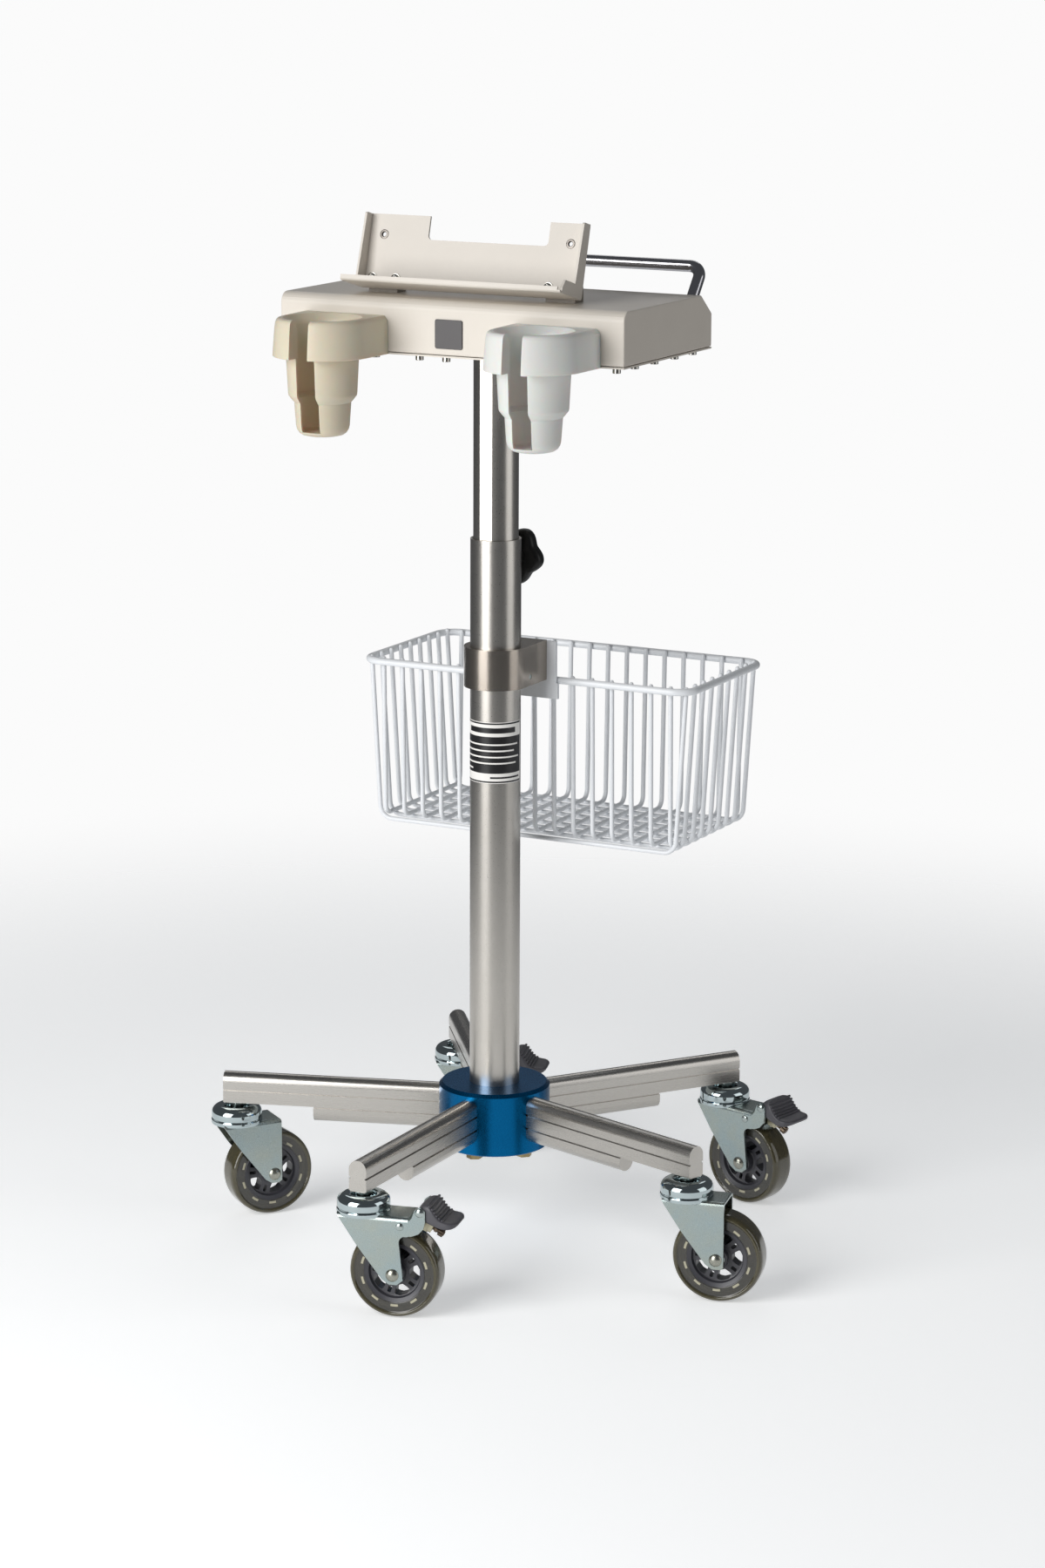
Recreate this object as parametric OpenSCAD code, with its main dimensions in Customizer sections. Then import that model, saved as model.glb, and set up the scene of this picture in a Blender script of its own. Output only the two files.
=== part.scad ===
// Mobile five-star stand for a patient monitor: casters, telescopic column, device tray,
// leaning device bracket, probe holders, wire basket and rear handle.
// Millimetres, +Z up, floor at z = 0, probe holders at the front (-Y).

/* [Base] */
// Diameter of the blue centre hub
hub_d = 100; // [96:1:104]
// Height of the hub's underside above the floor
hub_z = 85; // [83:1:86]
// Height of the hub
hub_h = 57.5; // [56:0.5:62]
// Distance from the column's axis to an arm's end
arm_reach = 250; // [245:1:260]
// Width of an arm
arm_w = 17; // [15:0.5:18]
// Height of an arm's top above the floor
arm_top_z = 137.4; // [136:0.2:138]
// Distance from the column's axis to where the lower bead ends
bead_reach = 166; // [150:1:168]

/* [Casters] */
// Wheel diameter
wheel_d = 80; // [76:1:80]
// Width of the tyre
tyre_w = 25; // [22:1:26]
// Trail of a wheel behind its swivel axis
trail = 30; // [28:1:32]
// Distance from the column's axis to a swivel axis
swivel_reach = 239.3; // [235:0.1:240]

/* [Column] */
// Outer diameter of the fixed lower tube
lower_d = 45; // [44.8:0.1:45.2]
// Height of the lower tube's top above the floor
lower_top_z = 638; // [630:1:645]
// Outer diameter of the sliding upper tube
upper_d = 40; // [39.8:0.1:40]
// Height of the clamping knob's axis
knob_z = 617; // [610:1:618]
// Diameter over the knob's lobes
knob_d = 52; // [48:1:54]

/* [Tray] */
// Width of the tray box
tray_w = 331; // [325:1:340]
// Depth of the tray box
tray_d = 173; // [168:1:176]
// Height of the tray's underside above the floor, as drawn
tray_z = 805; // [800:1:815]
// Height of the tray box
tray_h = 48; // [46:1:50]
// Distance between the two probe holders
holder_gap = 203; // [200:1:206]
// Distance from a probe holder's axis to the tray's front
holder_reach = 39; // [38:1:42]

/* [Device bracket] */
// Width of the leaning plate
plate_w = 212; // [208:1:216]
// Height of the leaning plate
plate_h = 65; // [62:1:68]
// Angle by which the plate leans back
plate_lean = 15; // [12:1:18]
// Depth of the ledge that carries the device
ledge_d = 40; // [36:1:42]

/* [Basket] */
// Width of the rim over its centre line
rim_w = 328; // [320:1:334]
// Depth of the rim over its centre line
rim_depth = 160; // [156:1:166]
// Height of the rim's centre line above the floor
rim_z = 505; // [500:1:510]
// Depth of the basket below its rim
basket_h = 148; // [140:1:152]

/* [Hidden] */
$fn = 48;
fit = 0.05;

// Column axis in the part's frame: the origin is under the middle of the whole object
axis_x = -22;
axis_y = 12.7;

// Arm directions, and the direction in which each caster trails, in degrees
arm_angles = [270, 342, 54, 126, 198];
trail_angles = [13, 12, -12.5, 18, 53.5];
braked = [true, false, true, true, false];

// Arm section, from the top: round bead, flat middle, lower bead
groove_z = [121.8, 109.4];
arm_bottom_z = 95.4;
arm_inner = 28.2;
groove_h = 1.8;
groove_depth = 1.4;
arm_bolt_r = 38;

// Caster heights and radii
wheel_r = wheel_d / 2;
fork_top_z = 92;
fork_sheet = 2.5;
fork_gap = 30;
head_r = 23.5;
head_h = 14.5;
stem_r = 6;
rim_r = 27;
pivot = [54.5, 98];

// Column walls
lower_r = lower_d / 2;
lower_bore_r = lower_r - 1.75;
upper_r = upper_d / 2;
upper_bore_r = upper_r - 3;
upper_foot_z = 330;
bush_l = 60;
shoe_r = 6;
stud_r = 5;
boss_y = 29;

// Gas spring
spring_r = 11;
spring_bore_r = 9.1;
spring_foot_z = 98;
spring_top_z = 420;
rod_r = 5;
piston_z = 250;

// Tray sheet
sheet = 2;
tray_top_z = tray_z + tray_h;
tray_front = -tray_d / 2;
tray_back = tray_d / 2;
tray_bend = 9;
chamfer_y = 22;
chamfer_z = 17.4;
base_sheet = 1.5;
flange_h = 4;
flange_z = tray_top_z - sheet - flange_h;
tray_screw_x = tray_w / 2 - 12.5;
tray_screw_y = tray_d / 2 - 12;
front_screws = [-78, -35, -9, 35, 78];
side_screws = [-40, -2, 38];

// Leaning bracket, measured from the foot of the plate's front face
plate_t = 2;
plate_foot = [tray_front + 37.2, tray_top_z + 3];
notch_x = [-47, 69];
notch_depth = 20.5;
insert_x = 90.25;
insert_drop = 17.6;
insert_r = 2;
plate_screw_x = [74, 97];
plate_screw_z = 9.3;
foot_x = 86;
foot_w = 28;
foot_d = 16;
foot_h = 13;

// Handle
handle_d = 10.5;
handle_half = 150;
handle_rise = 37.8;
handle_bend = 12;
chamfer_tilt = atan2(chamfer_z, chamfer_y);

// Probe holder heights, from the collar's foot
collar_h = 33;
cup_h = 38.5;
toe_h = 29.5;
holder_wall = 3;
cup_bore_r = 27.5;
toe_bore_r = 20.5;
slot_w = 18;

// Basket wires
rim_wire_r = 3.25;
wire_r = 2.1;
rim_front_y = 51;
rim_corner = 18;
draft_x = 9;
draft_y = 3;
long_pitch = 19.3;
short_pitch = 18;
plate_y = 44.5;
plate_sheet = 3;
clamp_z = 506;
clamp_h = 36;
clamp_r = 28;

// ---------------------------------------------------------------- helpers

// Cylinder along +Y from y0 to y1
module rod_y(r, y0, y1) {
    translate([0, y0, 0]) rotate([-90, 0, 0]) cylinder(r = r, h = y1 - y0);
}

// Straight round wire between two points
module wire(a, b, r) {
    d = b - a;
    turn = atan2(d[1], d[0]);
    lean = acos(d[2] / norm(d));
    translate(a) rotate([0, lean, turn]) cylinder(r = r, h = norm(d));
}

// Rectangle with rounded corners, centred
module round_rect(w, h, r) {
    square([w - 2 * r, h], center = true);
    square([w, h - 2 * r], center = true);
    for (x = [-1, 1], y = [-1, 1])
        translate([x * (w / 2 - r), y * (h / 2 - r)]) circle(r);
}

// Extrude an outline drawn in the Y-Z plane along X, from x0 to x1
module along_x(x0, x1) {
    translate([x0, 0, 0]) rotate([90, 0, 90]) linear_extrude(x1 - x0) children();
}

module hex_bolt(across, head_h, r, shank) {
    cylinder(d = across / cos(30), h = head_h, $fn = 6);
    translate([0, 0, head_h]) cylinder(r = r, h = shank);
}

module at_arm(i) {
    rotate([0, 0, arm_angles[i]]) children();
}

// Caster frame: origin on the swivel axis at the floor, +X trailing
module at_caster(i) {
    a = arm_angles[i];
    translate([swivel_reach * cos(a), swivel_reach * sin(a), 0])
        rotate([0, 0, trail_angles[i]]) children();
}

// Wheel frame: origin at the wheel's centre, +Z along the axle
module at_wheel(i) {
    at_caster(i) translate([trail, 0, wheel_r]) rotate([90, 0, 0]) children();
}

// ---------------------------------------------------------------- base

module hub() {
    hub_r = hub_d / 2;
    bevel = 3;
    color("#0b4a78") difference() {
        translate([0, 0, hub_z]) rotate_extrude() polygon([
            [0, 0], [hub_r - 1, 0], [hub_r, 1], [hub_r, hub_h - bevel],
            [hub_r - bevel, hub_h], [0, hub_h]
        ]);
        translate([0, 0, arm_bottom_z]) cylinder(r = lower_r, h = hub_h);
        translate([0, 0, hub_z - 1]) cylinder(r = 4.1, h = 20);
        for (i = [0:4]) at_arm(i) {
            arm_slot();
            translate([arm_bolt_r, 0, hub_z - 1]) cylinder(r = 4.1, h = 20);
        }
    }
}

// The pocket that an arm's end sits in
module arm_slot() {
    along_x(arm_inner - 0.2, hub_d) {
        translate([0, arm_top_z - arm_w / 2]) circle(d = arm_w);
        translate([0, arm_bottom_z + arm_w / 2]) circle(d = arm_w);
        translate([-arm_w / 2, arm_bottom_z + arm_w / 2])
            square([arm_w, arm_top_z - arm_bottom_z - arm_w]);
    }
}

// Arm section: two round beads with a groove on each side between them
module arm_section(bottom) {
    difference() {
        union() {
            translate([0, arm_top_z - arm_w / 2]) circle(d = arm_w);
            translate([-arm_w / 2, bottom]) square([arm_w, arm_top_z - bottom - arm_w / 2]);
        }
        for (s = [-1, 1], z = groove_z)
            translate([s * arm_w / 2, z]) square([2 * groove_depth, groove_h], center = true);
    }
}

module arm(i) {
    full_bottom = arm_bottom_z + arm_w / 2;
    color("#b9b9b6") at_arm(i) difference() {
        union() {
            along_x(arm_inner, arm_reach) arm_section(groove_z[1]);
            along_x(arm_inner, bead_reach) {
                arm_section(full_bottom);
                translate([0, full_bottom]) circle(d = arm_w);
            }
        }
        translate([arm_bolt_r, 0, arm_bottom_z - 1]) cylinder(r = 4, h = 20);
        translate([swivel_reach, 0, groove_z[1] - 1]) cylinder(r = 5, h = 24);
    }
}

module hub_bolts() {
    color("#8f8878") for (i = [0:4]) at_arm(i)
        translate([arm_bolt_r, 0, hub_z - 5.3]) hex_bolt(13, 5.3, 4, 26);
}

module centre_bolt() {
    color("#9b9a90") {
        translate([0, 0, hub_z - 1.6]) difference() {
            cylinder(r = 12, h = 1.6);
            translate([0, 0, -1]) cylinder(r = 4, h = 4);
        }
        translate([0, 0, hub_z - 7]) hex_bolt(13, 5.4, 4, 21);
    }
}

// Threaded stems, fixed in the arms, on which the casters swivel
module caster_stems() {
    hex_z = fork_top_z + head_h + 0.4;
    color("#a9adad") for (i = [0:4]) at_caster(i) {
        translate([0, 0, 88]) cylinder(r = 9, h = 1.4);
        translate([0, 0, 89]) cylinder(r = stem_r, h = hex_z - 89);
        translate([0, 0, hex_z])
            cylinder(d = 14 / cos(30), h = groove_z[1] - hex_z, $fn = 6);
        translate([0, 0, groove_z[1]]) cylinder(r = 5, h = 20);
    }
}

// ---------------------------------------------------------------- casters

// One cheek of the fork, seen from the side
module cheek_outline(brake) {
    polygon([
        [-19, fork_top_z], [-2.4, 65.7], [20.5, 36], [trail, 40], [39.2, 39], [36, 70],
        [39, 75], [37, fork_top_z]
    ]);
    translate([trail, wheel_r - 0.5]) circle(9.4);
    if (brake) {
        polygon([
            [36, 72], [39, 75.5], [47, 76.4], [54, 79.5], [58, 85],
            [59.2, pivot[1]], [49.8, pivot[1]], [47.6, 92.2], [44, fork_top_z], [30, fork_top_z]
        ]);
        translate(pivot) circle(4.7);
    }
}

module fork(i) {
    brake = braked[i];
    tail = brake ? 44 : 37;
    half = fork_gap / 2;
    color("#aab7b8") at_caster(i) difference() {
        union() {
            for (s = [0, 1]) mirror([0, s, 0])
                translate([0, half + fork_sheet, 0]) rotate([90, 0, 0])
                    linear_extrude(fork_sheet) cheek_outline(brake);
            translate([-19, -half - 0.1, fork_top_z - fork_sheet])
                cube([tail + 19, fork_gap + 0.2, fork_sheet]);
            translate([0, 0, fork_top_z]) rotate_extrude() polygon([
                [0, -fork_sheet], [head_r - 1, -fork_sheet], [head_r, -1], [head_r, 1.6],
                [head_r - 1.1, 2], [head_r - 0.5, 2.8], [head_r - 0.5, head_h - 6],
                [head_r - 1.2, head_h - 4], [head_r - 2.7, head_h - 2],
                [head_r - 5.2, head_h - 0.6], [head_r - 8, head_h], [0, head_h]
            ]);
        }
        translate([0, 0, fork_top_z - 10]) cylinder(r = stem_r + fit, h = 40);
        translate([0, 0, fork_top_z + 8]) cylinder(r = 11, h = 10);
        translate([trail, 30, wheel_r]) rotate([90, 0, 0]) cylinder(r = 4, h = 60);
        if (brake) translate([pivot[0], 30, pivot[1]]) rotate([90, 0, 0]) cylinder(r = 2.5 + fit, h = 60);
    }
}

module axle(i) {
    half = fork_gap / 2 + fork_sheet;
    color("#8d8f86") at_wheel(i) {
        translate([0, 0, -half]) cylinder(r = 4, h = 2 * half);
        for (s = [0, 1]) mirror([0, 0, s]) translate([0, 0, half]) {
            cylinder(r = 5.7, h = 1.6);
            translate([0, 0, 1.6]) cylinder(r1 = 5.7, r2 = 3.8, h = 1.4);
        }
    }
}

// Grey spoked wheel centre with its two ball bearings
module rim(i) {
    hub_half = fork_gap / 2 - 0.6;
    color("#4c4b53") at_wheel(i) difference() {
        union() {
            translate([0, 0, -hub_half]) cylinder(r = 9.5, h = 2 * hub_half);
            translate([0, 0, -6]) cylinder(r = 24, h = 12);
            translate([0, 0, -10.5]) difference() {
                cylinder(r = rim_r, h = 21);
                translate([0, 0, -1]) cylinder(r = 23, h = 23);
            }
        }
        translate([0, 0, -20]) cylinder(r = 7.5, h = 40);
        for (a = [0:72:288]) rotate([0, 0, a]) {
            translate([16.5, 0, -20]) cylinder(r = 4.6, h = 40);
            rotate([0, 0, 36]) translate([17, 0, 0]) cube([7, 2.4, 40], center = true);
        }
    }
    color("#9a9ca0") at_wheel(i) for (s = [0, 1]) mirror([0, 0, s])
        translate([0, 0, hub_half - 5]) difference() {
            cylinder(r = 7.5 - fit / 2, h = 5);
            translate([0, 0, -1]) cylinder(r = 4 + fit, h = 7);
        }
}

module tyre(i) {
    half = tyre_w / 2;
    shoulder = 6;
    color("#85826a") at_wheel(i) rotate_extrude() {
        translate([rim_r, -10.5]) square([6, 21]);
        translate([rim_r + 4, -half + 1.5]) square([wheel_r - rim_r - 4 - shoulder, tyre_w - 3]);
        translate([rim_r + 4, -half + shoulder])
            square([wheel_r - rim_r - 4, tyre_w - 2 * shoulder]);
        for (s = [-1, 1]) translate([wheel_r - shoulder, s * (half - shoulder)]) circle(shoulder);
    }
}

// Ribbed foot pedal with its brake lever, pivot pin, and adjusting screw
module pedal(i) {
    half = fork_gap / 2 - 1;
    color("#5b5960") at_caster(i) difference() {
        union() {
            translate([0, half, 0]) rotate([90, 0, 0]) linear_extrude(2 * half) polygon([
                [50.5, 99], [53, 103], [60, 105], [66, 103], [70, 96], [66, 88], [57, 86]
            ]);
            translate([0, half + 4, 0]) rotate([90, 0, 0]) linear_extrude(2 * half + 8) polygon([
                [62.5, 102], [66, 102.5], [72, 94], [84, 91], [86.5, 86], [83, 80], [77, 77],
                [67, 83]
            ]);
        }
        translate([pivot[0], 30, pivot[1]]) rotate([90, 0, 0]) cylinder(r = 2.5, h = 60);
    }
    color("#a4a08a") at_caster(i) {
        translate([pivot[0], half + 5.2, pivot[1]]) rotate([90, 0, 0])
            cylinder(r = 2.5, h = 2 * half + 10.4);
        for (s = [0, 1]) mirror([0, s, 0])
            translate([pivot[0], half + 5.2, pivot[1]]) rotate([90, 0, 0])
                cylinder(r = 3.6, h = 1.5);
        translate([0, 3, 0]) rotate([90, 0, 0]) linear_extrude(6) polygon([
            [52, 88], [60, 88], [60, 79], [55, 76], [51.5, 78]
        ]);
        translate([57, 0, 82]) rotate([0, 120, 0]) {
            cylinder(r = 2, h = 15);
            translate([0, 0, 4]) cylinder(d = 7 / cos(30), h = 3, $fn = 6);
        }
    }
}

// ---------------------------------------------------------------- column

module column_lower() {
    color("#b3b1ac") difference() {
        union() {
            translate([0, 0, arm_bottom_z]) cylinder(r = lower_r, h = lower_top_z - arm_bottom_z);
            translate([0, 0, knob_z]) rod_y(9, 0, boss_y);
        }
        translate([0, 0, arm_bottom_z - 1]) cylinder(r = lower_bore_r, h = lower_top_z);
        translate([0, 0, knob_z]) rod_y(shoe_r + fit, 0, boss_y - 3);
        translate([0, 0, knob_z]) rod_y(stud_r + fit, 0, boss_y + 1);
    }
}

// Plastic liner between the two tubes
module guide_bush() {
    color("#2b2b2c") translate([0, 0, lower_top_z - bush_l]) difference() {
        cylinder(r = lower_bore_r, h = bush_l - 0.5);
        translate([0, 0, -1]) cylinder(r = upper_r + fit, h = bush_l + 2);
        translate([0, 0, knob_z - lower_top_z + bush_l]) rod_y(shoe_r + fit, 0, 30);
    }
}

module column_upper() {
    color("#c2c2c0") difference() {
        translate([0, 0, upper_foot_z]) cylinder(r = upper_r, h = flange_z - upper_foot_z);
        translate([0, 0, upper_foot_z - 1]) cylinder(r = upper_bore_r, h = tray_top_z);
        translate([-6, -upper_r - 1, upper_foot_z - 1]) cube([12, 2, tray_top_z]);
    }
}

module gas_spring_cylinder() {
    color("#1d1e20") translate([0, 0, spring_foot_z]) difference() {
        cylinder(r = spring_r, h = spring_top_z - spring_foot_z);
        translate([0, 0, 8]) cylinder(r = spring_bore_r, h = spring_top_z - spring_foot_z - 16);
        translate([0, 0, 20]) cylinder(r = rod_r + fit, h = spring_top_z);
        translate([0, 0, -1]) cylinder(r = 4 + fit, h = 8);
    }
}

module gas_spring_rod() {
    color("#d8dadc") {
        translate([0, 0, piston_z]) cylinder(r = rod_r, h = flange_z - piston_z);
        translate([0, 0, piston_z]) cylinder(r = spring_bore_r - fit, h = 8);
    }
}

// Plate that joins the upper tube and the gas spring's rod to the tray
module column_flange() {
    color("#8c8a84") difference() {
        union() {
            translate([-60, -42, flange_z]) cube([120, 84, flange_h]);
            translate([0, 0, flange_z - 25]) cylinder(r = upper_bore_r, h = 25);
        }
        translate([0, 0, flange_z - 26]) cylinder(r = rod_r, h = 26);
    }
}

module brake_shoe() {
    color("#3a3a3a") difference() {
        translate([0, 0, knob_z]) rod_y(shoe_r, 17, 23.8);
        translate([0, 0, knob_z - 20]) cylinder(r = upper_r + fit, h = 40);
    }
}

// Lobed clamping knob with its threaded stud
module knob() {
    lobes = 5;
    lobe_r = 9;
    color("#101010") translate([0, 0, knob_z]) {
        rod_y(stud_r, 24, boss_y + 2);
        rod_y(11, boss_y + 0.6, boss_y + 5);
        translate([0, boss_y + 18, 0]) rotate([90, 0, 0]) linear_extrude(15) {
            circle(knob_d / 2 - 5);
            for (i = [0:lobes - 1]) rotate(10 + i * 360 / lobes)
                translate([knob_d / 2 - lobe_r, 0]) circle(lobe_r);
        }
    }
}

// ---------------------------------------------------------------- basket

module basket_clamp() {
    color("#6f6a62") difference() {
        union() {
            translate([0, 0, clamp_z]) cylinder(r = clamp_r, h = clamp_h);
            translate([-clamp_r, 0, clamp_z]) cube([2 * clamp_r, plate_y, clamp_h]);
        }
        translate([0, 0, clamp_z - 1]) cylinder(r = lower_r, h = clamp_h + 2);
        translate([0, 13, clamp_z + 8]) rotate([0, 90, 0]) cylinder(r = 2.5, h = 40);
        for (x = [-14, 14]) translate([x, 0, clamp_z + clamp_h / 2]) rod_y(2.5, 30, plate_y + 1);
    }
}

// Grub screw that locks the clamp, and the two screws that hold the basket's plate
module clamp_screws() {
    color("#8a867c") {
        translate([lower_r - 2.2, 13, clamp_z + 8]) rotate([0, 90, 0]) cylinder(r = 2.5, h = 7.4);
        for (x = [-14, 14]) translate([x, 0, clamp_z + clamp_h / 2]) {
            rod_y(2.5, 32, plate_y + plate_sheet);
            rod_y(4.5, plate_y + plate_sheet, plate_y + plate_sheet + 2.6);
        }
    }
}

module basket_plate() {
    color("#e6e8ea") difference() {
        union() {
            translate([-37, plate_y, 503]) cube([74, plate_sheet, 38]);
            translate([-39, plate_y, 489]) cube([78, plate_sheet, 14.5]);
        }
        for (x = [-14, 14]) translate([x, 0, clamp_z + clamp_h / 2])
            rod_y(2.5, plate_y - 1, plate_y + plate_sheet + 1);
    }
}

// Rounded rectangular loop of thick wire
module basket_rim() {
    x = rim_w / 2;
    y = rim_depth / 2;
    long = rim_w - 2 * rim_corner;
    short = rim_depth - 2 * rim_corner;
    color("#eceeef") translate([0, rim_front_y + y, rim_z]) {
        for (s = [-1, 1]) {
            translate([-long / 2, s * y, 0]) rotate([0, 90, 0]) cylinder(r = rim_wire_r, h = long);
            translate([s * x, -short / 2, 0]) rotate([-90, 0, 0]) cylinder(r = rim_wire_r, h = short);
        }
        for (s = [-1, 1], t = [-1, 1]) translate([s * long / 2, t * short / 2, 0])
            rotate([0, 0, corner_turn(s, t)])
                rotate_extrude(angle = 90) translate([rim_corner, 0]) circle(rim_wire_r);
    }
}

function corner_turn(s, t) = s > 0 ? (t > 0 ? 0 : 270) : (t > 0 ? 90 : 180);

// Wires stand just inside the rim; these are their top and foot positions
function wire_top_x() = rim_w / 2 - rim_wire_r - wire_r + fit;
function wire_top_y(s) = rim_front_y + rim_depth / 2 + s * (rim_depth / 2 - rim_wire_r - wire_r + fit);
function wire_foot_z() = rim_z - basket_h;
long_count = floor((rim_w - 28) / long_pitch);
short_count = floor((rim_depth - 16) / short_pitch);
long_x = [for (k = [0:long_count]) (k - long_count / 2) * long_pitch];
short_y = [for (k = [0:short_count])
    rim_front_y + rim_depth / 2 + (k - short_count / 2) * short_pitch];

module basket_long_panel(s) {
    color("#eceeef") for (x = long_x)
        wire([x, wire_top_y(s) - s * draft_y, wire_foot_z() + 3 * wire_r],
             [x, wire_top_y(s), rim_z + 2], wire_r);
}

module basket_short_panel(s) {
    color("#eceeef") for (y = short_y)
        wire([s * (wire_top_x() - draft_x), y, wire_foot_z() + wire_r],
             [s * wire_top_x(), y, rim_z + 2], wire_r);
}

// Crossed wires: those along X lie under those along Y
module basket_floor() {
    z = wire_foot_z();
    upper_z = z + 2 * wire_r + fit;
    x = wire_top_x() - draft_x + wire_r;
    color("#eceeef") {
        for (k = long_x) wire([k, wire_top_y(-1) + draft_y - wire_r, upper_z],
                              [k, wire_top_y(1) - draft_y + wire_r, upper_z], wire_r);
        for (k = short_y) wire([-x, k, z], [x, k, z], wire_r);
    }
}

// ---------------------------------------------------------------- tray

// Side view of the tray cover, grown inwards by t
module tray_outline(t, bottom) {
    top = tray_top_z - t;
    front = tray_front + t;
    back = tray_back - t;
    bend = tray_bend - t;
    slope = t * tan(chamfer_tilt / 2);
    cut = t * tan((90 - chamfer_tilt) / 2);
    polygon([
        [front, bottom], [front, top - bend],
        for (a = [180:-15:90]) [front + bend + bend * cos(a), top - bend + bend * sin(a)],
        [tray_back - chamfer_y - slope, top], [back, tray_top_z - chamfer_z - cut], [back, bottom]
    ]);
}

module tray_cover() {
    half = tray_w / 2;
    bottom = tray_z + base_sheet + 0.5;
    color("#d3ccc2") difference() {
        along_x(-half, half) tray_outline(0, bottom);
        along_x(-half + sheet, half - sheet) tray_outline(sheet, bottom - 1);
    }
}

module tray_base() {
    half = tray_w / 2;
    tab = sheet + 0.4;
    color("#c8c1b6") difference() {
        union() {
            translate([-half, tray_front, tray_z]) cube([tray_w, tray_d, base_sheet]);
            for (s = [0, 1]) mirror([s, 0, 0]) translate([half - tab - sheet, tray_front + 6, tray_z])
                cube([sheet, tray_d - 12, 14]);
        }
        translate([0, 0, tray_z - 1]) cylinder(r = upper_r + 0.1, h = 5);
        at_tray_screws() translate([0, 0, -10]) cylinder(r = 2, h = 20);
    }
}

module at_tray_screws() {
    for (s = [-1, 1]) {
        for (x = front_screws) translate([x, s * tray_screw_y, tray_z]) children();
        for (y = side_screws) translate([s * tray_screw_x, y, tray_z]) children();
        for (t = [-1, 1]) translate([s * tray_screw_x, t * tray_screw_y, tray_z]) children();
    }
}

module tray_screws() {
    color("#a8a8a4") at_tray_screws() {
        translate([0, 0, -5]) cylinder(r = 3.5, h = 5);
        cylinder(r = 2, h = 9);
    }
}

module tray_badge() {
    color("#5f5b58") translate([0, tray_front, tray_z + 20]) rotate([90, 0, 0])
        linear_extrude(1) round_rect(26.5, 25, 2);
}

// Frame on the foot of the leaning plate's front face, +Z up the plate
module at_plate() {
    translate([0, plate_foot[0], plate_foot[1]]) rotate([-plate_lean, 0, 0]) children();
}

module device_bracket() {
    half = plate_w / 2;
    lip_h = 5;
    end_h = 12;
    relief = 1;
    color("#d6d0c6") at_plate() difference() {
        union() {
            translate([0, plate_t, 0]) rotate([90, 0, 0]) linear_extrude(plate_t) plate_outline();
            translate([-half, -ledge_d, 0]) cube([plate_w, ledge_d + plate_t, plate_t]);
            translate([-half, -ledge_d, 0]) cube([plate_w - plate_t - relief, plate_t, lip_h]);
            translate([half - plate_t, -ledge_d + plate_t + relief, 0])
                cube([plate_t, ledge_d - 9, end_h]);
            for (s = [-half, half - plate_t]) along_x(s, s + plate_t)
                polygon([[plate_t, 0], [-14, 0], [-10, plate_h], [plate_t, plate_h]]);
            for (s = [-1, 1]) translate([s * insert_x, 0, plate_h - insert_drop])
                rod_y(4, 0, plate_t + 1.5);
        }
        for (s = [-1, 1]) {
            translate([s * insert_x, 0, plate_h - insert_drop]) rod_y(insert_r, -1, 10);
            for (x = plate_screw_x) translate([s * x, 0, plate_screw_z]) rod_y(2.1, -1, 10);
        }
    }
}

// Plate with a wide notch in its top edge
module plate_outline() {
    notch_w = notch_x[1] - notch_x[0];
    corner = 4;
    difference() {
        translate([-plate_w / 2, 0]) square([plate_w, plate_h]);
        translate([(notch_x[0] + notch_x[1]) / 2, plate_h])
            round_rect(notch_w, 2 * notch_depth, corner);
    }
}

// Blocks that hold the leaning plate on the tray
module bracket_feet() {
    slope = tan(plate_lean);
    front = plate_foot[0] + plate_t / cos(plate_lean);
    low = front + (tray_top_z - plate_foot[1]) * slope;
    color("#77736b") difference() {
        for (s = [-1, 1]) along_x(s * foot_x - foot_w / 2, s * foot_x + foot_w / 2)
            polygon([
                [low, tray_top_z], [low + foot_d, tray_top_z],
                [low + foot_d, tray_top_z + foot_h], [low + foot_h * slope, tray_top_z + foot_h]
            ]);
        at_plate() for (s = [-1, 1], x = plate_screw_x)
            translate([s * x, 0, plate_screw_z]) rod_y(2, 0, 12);
    }
}

module bracket_screws() {
    color("#c9c9c6") at_plate() for (s = [-1, 1], x = plate_screw_x)
        translate([s * x, 0, plate_screw_z]) {
            rod_y(2, -1, 11);
            rod_y(4.6, -0.8, 0);
            rod_y(3.8, -3, -0.8);
        }
}

module handle() {
    r = handle_d / 2;
    straight = handle_half - handle_bend;
    color("#a5a7a9") translate([0, tray_back - chamfer_y / 2, tray_top_z - chamfer_z / 2])
        rotate([-(90 - atan2(chamfer_y, chamfer_z)), 0, 0]) {
            translate([-straight, 0, handle_rise]) rotate([0, 90, 0])
                cylinder(r = r, h = 2 * straight);
            for (s = [0, 1]) mirror([s, 0, 0]) {
                translate([handle_half, 0, 0]) cylinder(r = r, h = handle_rise - handle_bend);
                translate([straight, 0, handle_rise - handle_bend]) rotate([90, 0, 0])
                    rotate_extrude(angle = 90) translate([handle_bend, 0]) circle(r);
            }
        }
}

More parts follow.
